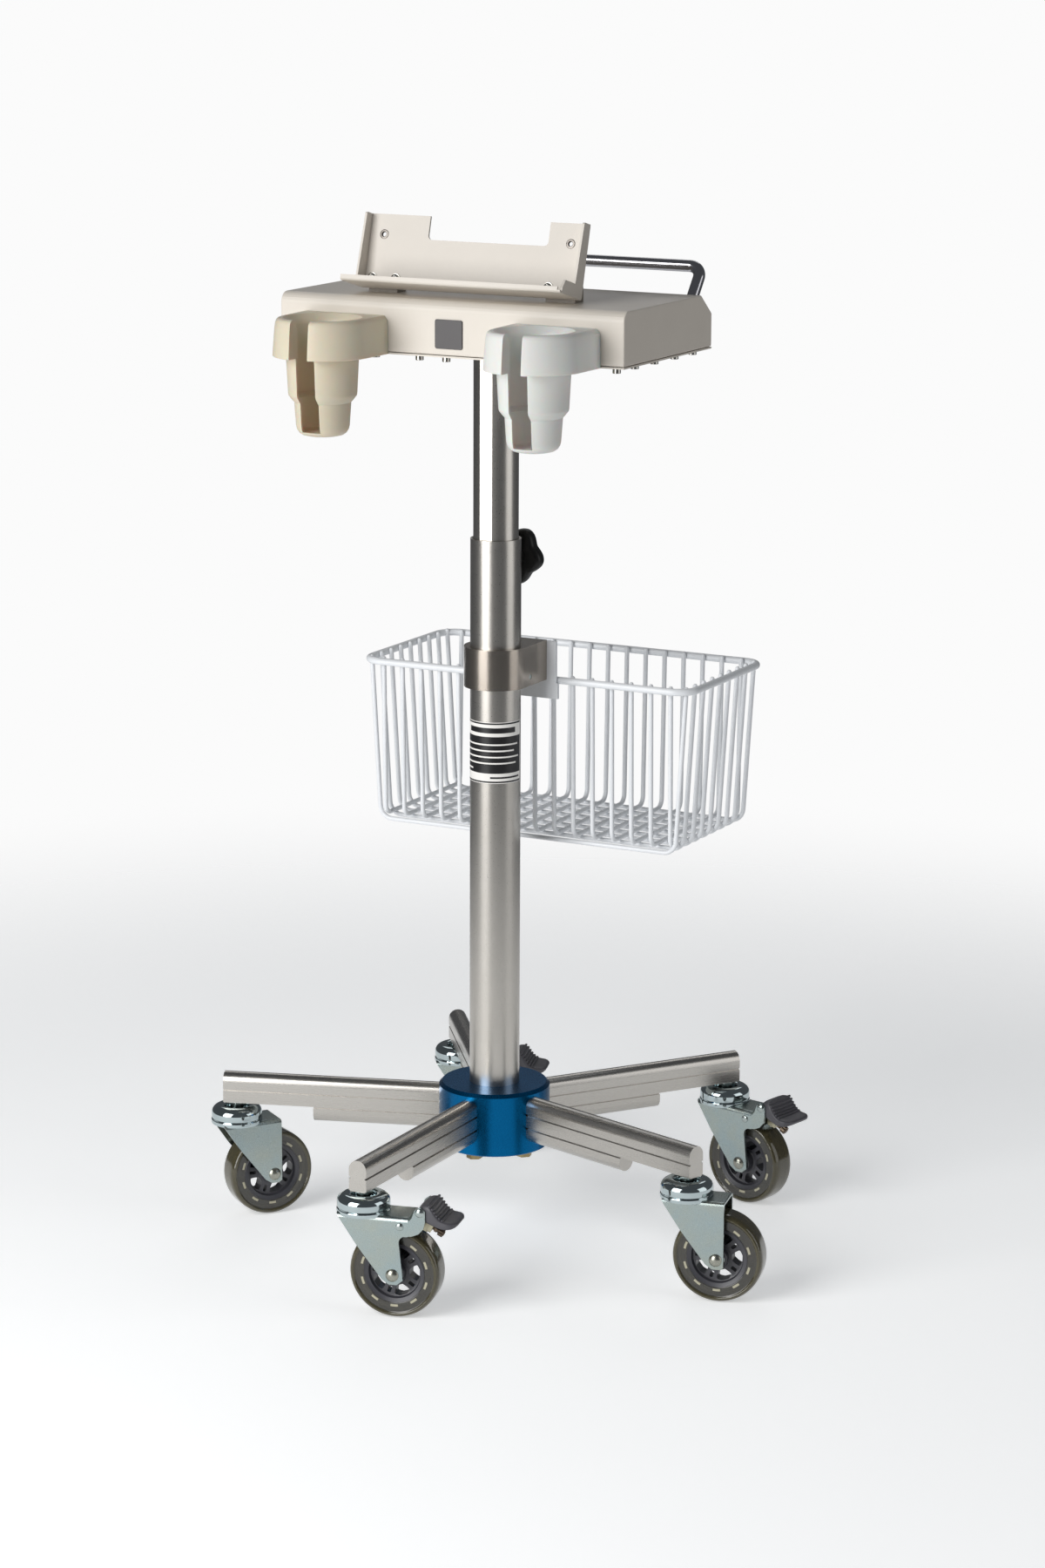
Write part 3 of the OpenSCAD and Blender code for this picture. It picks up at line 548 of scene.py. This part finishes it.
def wheel_centre():
    half = HUB_HALF
    side = [(7.6, half), (9, half), (9.6, half - 0.8), (9.8, 7.2), (11, 6.2), (20, 5.8),
            (22.2, 6.6), (23.2, 9.6), (25.4, 10.3), (26.6, 10.9), (26.95, 10.6)]
    web = lathe([(r, -z) for r, z in side] + side[::-1], True, 80)
    cutters = []
    for k in range(5):
        cutters.append(moved(prism(opening, -THROUGH, THROUGH), turn(72 * k, "Z")))
        cutters.append(moved(prism(spoke_slot, -THROUGH, THROUGH), turn(72 * k + 36, "Z")))
    return carved(web, joined(*cutters))


def bearings():
    ring = [(4.1, 0), (7.5, 0), (7.5, 4.6), (6.9, 5), (6.6, 4.7), (5.2, 4.7), (4.9, 5), (4.1, 4.8)]
    return joined(*[moved(lathe(ring, True, 32), turn(90 - 90 * s, "X"), shift(0, 0, 9.5 * s))
                    for s in (-1, 1)])


TYRE_SIDE = [(27.0, 10.5), (27.6, 10.8), (31, 10.9), (34.6, 11), (35.3, 11.3), (35.9, 12),
             (36.6, 12.4), (37.5, 12.3), (38.4, 11.7), (39.2, 10.5), (39.8, 8.6), (40, 6), (40, 2)]
SHOULDER_R = 35.4


def tyre_ring():
    """The thin rounded shoulder and tread take the second, clearer finish."""
    profile = TYRE_SIDE + [(r, -z) for r, z in reversed(TYRE_SIDE)]
    ring = lathe(profile, True, 96)
    for face in ring.faces:
        face.material_index = int(Vector(face.calc_center_median()[:2]).length > SHOULDER_R)
    return ring


def tyre_keys():
    """Ten nylon keys that show through each side of the tyre."""
    arc = [radians(a) for a in (-6.5, -3.5, 0, 3.5, 6.5)]
    outline = [(30.4 * cos(a), 30.4 * sin(a)) for a in arc] \
        + [(28.3 * cos(a), 28.3 * sin(a)) for a in reversed(arc)]
    return joined(*[
        moved(prism(outline, low, low + 0.7), turn(36 * k + 18, "Z"))
        for k in range(10) for low in (-10.95, 10.25)
    ])


# Side view of the pedal: (distance behind the swivel axis, underside, top, half width, dish)
PEDAL_STATIONS = [
    (51.6, 95.5, 99.5, 12.6, 0), (53, 92, 102, 13.4, 0), (55.5, 89.4, 104, 14.6, 0),
    (58.5, 88, 105.2, 16, 0), (61.5, 87, 105.2, 17, 0), (64, 86.2, 103.7, 17.6, 0),
    (66.2, 85.6, 100.8, 17.8, 0.2), (68.2, 85, 97.8, 18, 0.5), (70.4, 84.4, 95.2, 18, 0.9),
    (73, 84, 93.1, 18.2, 1.1), (76, 83.9, 92, 18.4, 1), (79, 84.1, 91.5, 18.4, 0.8),
    (82, 84.8, 91.1, 17.6, 0.5), (84.4, 85.8, 90.5, 15.4, 0.2), (86, 87, 89.8, 12, 0),
    (86.8, 88, 89, 9, 0),
]
PEDAL_RIBS = [(62.9, 104.4), (65.2, 102.1), (67.1, 99.3), (69, 96.7), (71.2, 94.4), (73.9, 92.7)]
RIB_R, RIB_HALF, RIB_SAG = 1.25, 15.6, 0.3
PEDAL_SIDES = 36
# Powers that square off the pedal's round section across and in height
SQUARE_Y, SQUARE_Z = 0.35, 0.45


def pedal_body():
    rings = []
    for u, low, top, half, dish in PEDAL_STATIONS:
        middle, tall = (low + top) / 2, (top - low) / 2
        ring = []
        for k in range(PEDAL_SIDES):
            a = 2 * pi * k / PEDAL_SIDES
            y = half * abs(cos(a)) ** SQUARE_Y * (1 if cos(a) > 0 else -1)
            z = tall * abs(sin(a)) ** SQUARE_Z * (1 if sin(a) > 0 else -1)
            if z > 0:
                z -= dish * (1 - (y / half) ** 2)
            ring.append((u, y, middle + z))
        rings.append(ring)
    ribs = [tube([(u, -RIB_HALF, z - RIB_R / 2), (u, 0, z - RIB_R / 2 - RIB_SAG),
                  (u, RIB_HALF, z - RIB_R / 2)], RIB_R, sides=12) for u, z in PEDAL_RIBS]
    return joined(loft(rings), *ribs)


SLANT = 118
SLANT_START = (57.5, 0, 82.6)


def on_slant(shape):
    """Lays a part of the adjusting screw along its slanting axis."""
    return moved(shape, turn(SLANT, "Y"), shift(*SLANT_START))


def pedal_pin():
    return moved(lathe([
        (0, -19.6), (1.8, -19.4), (3.2, -18.8), (4, -17.9), (4, -17.55), (2.45, -17.55),
        (2.45, 17.55), (4, 17.55), (4, 17.9), (3.2, 18.8), (1.8, 19.4), (0, 19.6)
    ], steps=28), UPRIGHT, shift(PIVOT[0], 0, PIVOT[1]))


def pedal_lever():
    """Brake lever with the square nut that the adjusting screw runs in."""
    plate = rounded([(51.5, 88), (60, 88), (61.5, 82), (57, 76.5), (52, 78.5)], 1.2, 3)
    nut = rounded([(-4.4, -4.4), (4.4, -4.4), (4.4, 4.4), (-4.4, 4.4)], 1, 3)
    return joined(moved(prism(plate, -3, 3), UPRIGHT), on_slant(prism(nut, 1, 5)))


KNURL_R, KNURL_DEPTH = 3.6, 0.25


def pedal_screw():
    thread = [(0, 0), (1.8, 0)]
    for k in range(9):
        thread += [(2.1, 0.4 + k), (1.7, 0.9 + k)]
    thread += [(2.1, 9.6), (2.1, 16), (0, 16)]
    knurl = [((KNURL_R + KNURL_DEPTH * (-1) ** k) * cos(k * pi / 12),
              (KNURL_R + KNURL_DEPTH * (-1) ** k) * sin(k * pi / 12)) for k in range(24)]
    collar = [(3 * cos(k * pi / 3), 3 * sin(k * pi / 3)) for k in range(6)]
    return joined(on_slant(lathe(thread, steps=20)), on_slant(prism(collar, 6.6, 9.2)),
                  on_slant(prism(knurl, 10.6, 15.4)))


sheets = {kind: fork_sheet(kind) for kind in (True, False)}
centre = wheel_centre()
for name, trail in TRAILS.items():
    arm = radians(ARM_ANGLES[name])
    caster = STAND @ shift(SWIVEL_REACH * cos(arm), SWIVEL_REACH * sin(arm), 0) @ turn(trail, "Z")
    wheel = caster @ shift(TRAIL, 0, WHEEL_R) @ UPRIGHT
    swivel, roll = f"swivel_{name}", f"wheel_{name}"
    braked = name in BRAKED
    make(f"fork_sheet_{name}", joined(sheets[braked].copy()), caster, swivel,
         fork_zinc, [f"fork_{name}"])
    make(f"swivel_head_{name}", lathe(HEAD_PROFILE, True, 72), caster @ shift(0, 0, FORK_TOP),
         swivel, head_zinc)
    if braked:
        make(f"fork_rivets_{name}", joined(*rivet(36.8, 84.2, 3.4, 1.7)), caster, swivel,
             stem_zinc, crease=60)
        make(f"pedal_moulding_{name}", pedal_body(), caster, f"brake_{name}",
             pedal_nylon, [f"pedal_{name}"], 0.35)
        for piece, shape, finish, edge in (("pin", pedal_pin, stem_zinc, 0),
                                           ("lever", pedal_lever, lever_zinc, 0.2),
                                           ("screw", pedal_screw, screw_brown, 0.2)):
            make(f"pedal_{piece}_{name}", shape(), caster, f"brake_{name}", finish,
                 (), edge)
    make(f"axle_pin_{name}", lathe(AXLE_PROFILE + [(r, -z) for r, z in AXLE_PROFILE[::-1]],
                                   steps=48),
         wheel, swivel, axle_steel, [f"axle_{name}"], crease=50)
    make(f"wheel_centre_{name}", centre.copy(), wheel, roll, rim_nylon,
         [f"rim_{name}"], 0.4)
    make(f"wheel_bearings_{name}", bearings(), wheel, roll, stem_zinc)
    make(f"tyre_ring_{name}", tyre_ring(), wheel, roll,
         [tyre_urethane, tyre_shoulder], [f"tyre_{name}"])
    make(f"tyre_keys_{name}", tyre_keys(), wheel, roll, key_nylon, (), 0.2)

# ---------------------------------------------------------------- knob

KNOB_Z = 617
KNOB_SIDES = 100
LOBES, LOBE_TURN, LOBE_H = 5, 10, 4.6
VALLEY_R, SKIRT_R = 21.4, 24.4


def knob_shape():
    rings = [[(0, 0, 29.6)]]
    for y, inset in ((29.6, 13.4), (31.6, 13.2), (32.4, 4), (33.4, 1.6), (35.6, 0.3), (38, 0),
                     (41, 0), (43.6, 0.5), (45.4, 1.9), (46.4, 4), (46.9, 7), (46.6, 11),
                     (46.4, 15)):
        ring = []
        for k in range(KNOB_SIDES):
            a = 2 * pi * k / KNOB_SIDES
            wave = 0.5 + 0.5 * cos(LOBES * (a - radians(LOBE_TURN)))
            r = VALLEY_R + LOBE_H * wave ** 0.8 - inset
            if inset > 10:
                r = SKIRT_R - inset
            ring.append((r * cos(a), r * sin(a), y))
        rings.append(ring)
    rings.append([(0, 0, 46.3)])
    stud = lathe([(0, 24), (4.9, 24), (4.9, 30), (0, 30)], steps=32)
    return joined(loft(rings), stud)


make("knob_moulding", knob_shape(), STAND @ shift(0, 0, KNOB_Z) @ turn(-90, "X"), "knob",
     knob_black, ["knob"])

# ---------------------------------------------------------------- basket

RIM_X, RIM_FRONT, RIM_BACK, RIM_Z = 164, 51, 211, 505
RIM_WIRE, WIRE = 3.25, 2.1
DEEP = 148
DRAFT_X, DRAFT_Y = 9, 3
TOUCH = 0.05
top_x = RIM_X - RIM_WIRE - WIRE + TOUCH
front_y = RIM_FRONT + RIM_WIRE + WIRE - TOUCH
back_y = RIM_BACK - RIM_WIRE - WIRE + TOUCH
foot_z = RIM_Z - DEEP
middle_y = (RIM_FRONT + RIM_BACK) / 2

rim_corners = [(0, RIM_FRONT), (RIM_X, RIM_FRONT), (RIM_X, RIM_BACK), (-RIM_X, RIM_BACK),
               (-RIM_X, RIM_FRONT), (0, RIM_FRONT)]
rim_path = bent([(x, y, RIM_Z) for x, y in rim_corners], 18, 10)[:-1]
make("basket_rim_wire", tube(rim_path, RIM_WIRE, True, 20), STAND, "base",
     wire_coat, ["basket_rim"])

LONG_WIRES, LONG_PITCH, CROSS_PITCH = 16, 19.3, 18
along_z = foot_z + 2 * WIRE + TOUCH
long_wires = [
    tube(bent([(x, front_y, RIM_Z + 2), (x, front_y + DRAFT_Y, along_z),
               (x, back_y - DRAFT_Y, along_z), (x, back_y, RIM_Z + 2)], 9, 6), WIRE)
    for x in (LONG_PITCH * (k - (LONG_WIRES - 1) / 2) for k in range(LONG_WIRES))
]
make("basket_long_wires", joined(*long_wires), STAND, "base", wire_coat,
     ["basket_front_wires", "basket_back_wires", "basket_floor_wires"])
cross_wires = [
    tube(bent([(-top_x, y, RIM_Z + 2), (-top_x + DRAFT_X, y, foot_z),
               (top_x - DRAFT_X, y, foot_z), (top_x, y, RIM_Z + 2)], 12, 6), WIRE)
    for y in (middle_y + CROSS_PITCH * k for k in range(-4, 5))
]
make("basket_cross_wires", joined(*cross_wires), STAND, "base", wire_coat,
     ["basket_left_wires", "basket_right_wires"])

# ---------------------------------------------------------------- column label

LABEL_R = 22.5
LABEL_LOW, LABEL_HIGH = 421.7, 476.8
LABEL_FACING = -88
# Heights above the tube of the film's underside and face, the ink and the lines over it
FILM_BACK, FILM, INK, LINES = 0.02, 0.1, 0.14, 0.17


def band(low, high, start, end, lift):
    """Curved strip on the lower tube; angles in degrees round the column."""
    steps = max(2, int((end - start) / 5))
    rings = []
    for k in range(steps + 1):
        a = radians(LABEL_FACING + start + (end - start) * k / steps)
        rings.append([(r * cos(a), r * sin(a), z) for r, z in (
            (LABEL_R + FILM_BACK, low), (LABEL_R + lift, low), (LABEL_R + lift, high),
            (LABEL_R + FILM_BACK, high))])
    return loft(rings)


make("label_film", band(LABEL_LOW, LABEL_HIGH, -98, 98, FILM), STAND, "base",
     print_white, (), 0, crease=30)
ink = [band(LABEL_HIGH - 2, LABEL_HIGH - 0.6, -96, 96, INK),
       band(LABEL_LOW + 0.6, LABEL_LOW + 2, -96, 96, INK),
       band(LABEL_LOW + 9, LABEL_HIGH - 13, -96, 96, INK),
       band(LABEL_HIGH - 9.8, LABEL_HIGH - 5, -46, 76, INK),
       band(LABEL_LOW + 4.4, LABEL_LOW + 6, 14, 90, INK)]
make("label_ink", joined(*ink), STAND, "base", print_black, (), 0, crease=30)
lines = [band(LABEL_LOW + 11.8 + 5.6 * k, LABEL_LOW + 13.2 + 5.6 * k, -60, end, LINES)
         for k, end in enumerate((-34, 78, 88, 72, 84))]
make("label_lines", joined(*lines), STAND, "base", print_white, (), 0,
     crease=30)

# ---------------------------------------------------------------- handle

TRAY_FRONT, TRAY_BACK, TRAY_TOP = -86.5, 86.5, 853
CHAMFER_Y, CHAMFER_Z = 22, 17.4
HANDLE_HALF, HANDLE_RISE, HANDLE_BEND, HANDLE_R = 150, 37.8, 12, 5.25
lean = degrees(atan2(CHAMFER_Y, CHAMFER_Z)) - 90
handle_place = (STAND @ shift(0, TRAY_BACK - CHAMFER_Y / 2, TRAY_TOP - CHAMFER_Z / 2)
                @ turn(lean, "X"))
handle_path = bent([(-HANDLE_HALF, 0, 0.5), (-HANDLE_HALF, 0, HANDLE_RISE),
                    (HANDLE_HALF, 0, HANDLE_RISE), (HANDLE_HALF, 0, 0.5)], HANDLE_BEND, 12)
make("handle_bar", tube(handle_path, HANDLE_R, sides=32), handle_place, "upper",
     handle_polished, ["handle"])

# ---------------------------------------------------------------- bracket hardware

LEAN, PLATE_SETBACK, FOOT_H = 15, 37.2, 3
plate_place = STAND @ shift(0, TRAY_FRONT + PLATE_SETBACK, TRAY_TOP + FOOT_H) @ turn(-LEAN, "X")
PLATE_HALF, PLATE_H, PLATE_T, LEDGE, LIP = 106, 65, 2, 40, 5
SCREW_Z = 9.3
INSERT_X, INSERT_Z = 90.25, PLATE_H - 17.6
# How far the plate runs into the side flanges
LAP = 0.3


def bracket_sheet():
    """Folded sheet: plate, ledge and lip in one, then side flanges and the ledge's end flange."""
    outer = bent([(-LEDGE, LIP, 0), (-LEDGE, 0, 0), (PLATE_T, 0, 0), (PLATE_T, PLATE_H, 0)],
                 2.4, 4)
    inner = bent([(PLATE_T - LEDGE, LIP, 0), (PLATE_T - LEDGE, PLATE_T, 0), (0, PLATE_T, 0),
                  (0, PLATE_H, 0)], 0.9, 4)
    profile = [(p.x, p.y) for p in outer + inner[::-1]]
    inside = PLATE_HALF - PLATE_T
    sheet = moved(prism(profile, LAP - PLATE_HALF, PLATE_HALF - LAP), ALONG_X)
    notch = rounded([(-47, PLATE_H - 20.5), (69, PLATE_H - 20.5), (69, 90), (-47, 90)], 4, 6)
    holes = [moved(lathe([(0, -6), (2.3, -6), (2.3, 6), (0, 6)], steps=32), UPRIGHT,
                   shift(s * INSERT_X, 0, INSERT_Z)) for s in (-1, 1)]
    lip_end = block((inside - 1, -LEDGE - 1, PLATE_T + 0.2), (PLATE_HALF + 1, -37.1, 20))
    sheet = carved(sheet, joined(moved(prism(notch, -20, 20), UPRIGHT), lip_end, *holes))
    back, top = PLATE_T - LAP, PLATE_H - LAP
    flange = rounded([(back, LAP), (-14, LAP), (-10, top), (back, top)], 1.8, 4)
    end = rounded([(-36.7, LAP), (-36.7, 4.5), (-32, 12), (-6, 12), (-6, LAP)], 1.6, 4)
    places = (flange, -PLATE_HALF), (flange, inside), (end, inside + LAP / 2)
    sides = [moved(prism(outline, low, low + PLATE_T), ALONG_X) for outline, low in places]
    return joined(sheet, *sides)


make("bracket_folded_sheet", bracket_sheet(), plate_place, "upper",
     bracket_powder, ["device_bracket"], 0.35)


def pan_head():
    """Cross-slotted pan head with its washer, looking along -Y."""
    head = carved(
        lathe([(0, 0), (3.8, 0), (3.8, 0.9), (3.5, 1.6), (2.6, 2.1), (1.2, 2.3), (0, 2.35)],
              steps=32),
        carved(block((-2.1, -0.45, 1.1), (2.1, 0.45, 4)),
               block((-0.45, -2.1, 1.1), (0.45, 2.1, 4)), "UNION"))
    washer = lathe([(2, -0.8), (4.4, -0.8), (4.6, -0.6), (4.6, -0.2), (4.4, 0), (2, 0)], True, 32)
    shank = lathe([(0, -11.8), (1.7, -11.8), (2, -11.4), (2, 0.2), (0, 0.2)], steps=24)
    return joined(head, washer, shank)


screws = [moved(pan_head(), shift(0, 0, 0.8), turn(90, "X"), shift(s * x, 0, SCREW_Z))
          for s in (-1, 1) for x in (74, 97)]
make("bracket_pan_screws", joined(*screws), plate_place, "upper", screw_nickel,
     ["bracket_screws"], 0.12)
insert = [(2.02, -1.6), (3.2, -1.6), (3.4, 0), (4.1, 0.05), (4.1, 0.35), (3.7, 0.6), (2.5, 0.55),
          (2.02, 0.1)]
make("bracket_insert_rings",
     joined(*[moved(lathe(insert, True, 32), turn(90, "X"), shift(s * INSERT_X, 0, INSERT_Z))
              for s in (-1, 1)]),
     plate_place, "upper", insert_steel, ())

# ---------------------------------------------------------------- probe holders

HOLDER_X, HOLDER_REACH, HOLDER_Z = 101.5, 39, 805
COLLAR_H, CUP_H, TOE_H, WALL = 33, 38.5, 29.5, 3
CUP_R, TOE_R, SLOT = 27.5, 20.5, 18
COLLAR_R, COLLAR_BACK = 42.6, 42.4


def collar():
    """Round front that runs back to a flat plate, drawn in a little to its top."""
    rings = []
    for z, inset in ((0, 0.6), (0.6, 0), (8, 0.5), (16, 1.1), (24, 1.8), (29, 2.5), (31.2, 3.3),
                     (32.5, 4.6), (COLLAR_H, 6.2)):
        r = COLLAR_R - inset
        front = [(r * cos(radians(a)), r * sin(radians(a)), z) for a in range(180, 361, 5)]
        back = COLLAR_BACK - 0.25 * inset - (0.5 * inset if z > 30 else 0)
        rings.append(front + [(back, 30, z), (back, HOLDER_REACH, z),
                              (-back, HOLDER_REACH, z), (-back, 30, z)])
    return loft(rings)


def holder():
    low = -CUP_H - TOE_H
    cup = lathe([(0, low), (14, low), (17.6, low + 0.9), (20.4, low + 2.8), (22.2, low + 5.6),
                 (23, low + 9), (24.4, -CUP_H - 0.6), (25, -CUP_H), (25.6, -CUP_H + 0.5),
                 (29.2, -CUP_H + 5), (29.6, -CUP_H + 7), (31, -4), (31, 4), (0, 4)], steps=72)
    solid = carved(collar(), cup, "UNION")
    bore = lathe([(0, low + WALL), (15, low + WALL), (19, low + WALL + 1.8),
                  (TOE_R, low + WALL + 5), (TOE_R + 0.6, -CUP_H + 2), (CUP_R - 1, -CUP_H + 6),
                  (CUP_R, -CUP_H + 9), (CUP_R + 0.6, COLLAR_H - 9), (CUP_R + 3, COLLAR_H - 4),
                  (CUP_R + 7, COLLAR_H + 0.4), (CUP_R + 8.4, 40), (0, 40)], steps=72)
    slot = block((-SLOT / 2, -60, low + WALL + 1), (SLOT / 2, 0, 60))
    return carved(carved(solid, bore), slot)


cup_shape = holder()
for side_name, s, finish, slot in (("left", -1, holder_ivory, "ivory_plastic"),
                                   ("right", 1, holder_white, "white_plastic")):
    place = STAND @ shift(s * HOLDER_X, TRAY_FRONT - HOLDER_REACH, HOLDER_Z)
    make(f"probe_cup_{side_name}", cup_shape.copy(), place, "upper", finish,
         [f"probe_holder_{side_name}"], 0.45, 2)
